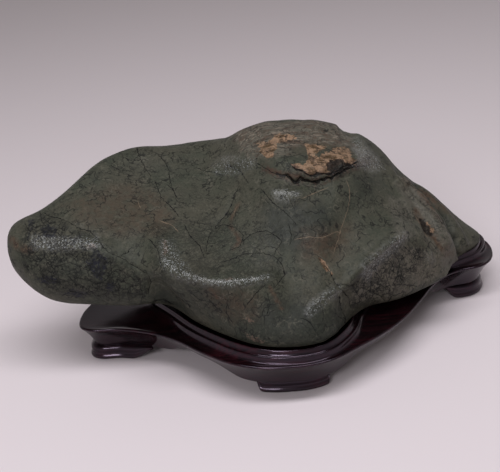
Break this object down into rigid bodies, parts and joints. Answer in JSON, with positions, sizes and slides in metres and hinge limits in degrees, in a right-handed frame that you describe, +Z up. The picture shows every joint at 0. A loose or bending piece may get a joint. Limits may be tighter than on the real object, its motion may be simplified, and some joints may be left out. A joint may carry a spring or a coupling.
{
  "type": "scholars rock on stand",
  "caption": "Long, low waterworn scholar's rock with a raised cap and an overhanging head, lying in a fitted, lobed hardwood stand on low scooped feet.",
  "frame": {"origin": "middle of the footprint of the stone and stand together, on the surface that the stand's feet rest on", "axes": "+X along the length, from the overhanging head towards the low end; -Y towards the front, where the front foot is; +Z up"},
  "size_m": [0.3148, 0.186, 0.1292],
  "materials": {
    "stone": "dark grey-green serpentine, waterworn and waxed to a satin gloss, with fine dark cracks and ochre patches",
    "rosewood": "dark red-brown rosewood, semi-gloss lacquer"
  },
  "bodies": {
    "root": {"stone": "stone", "stand": "rosewood"}
  },
  "joints": []
}
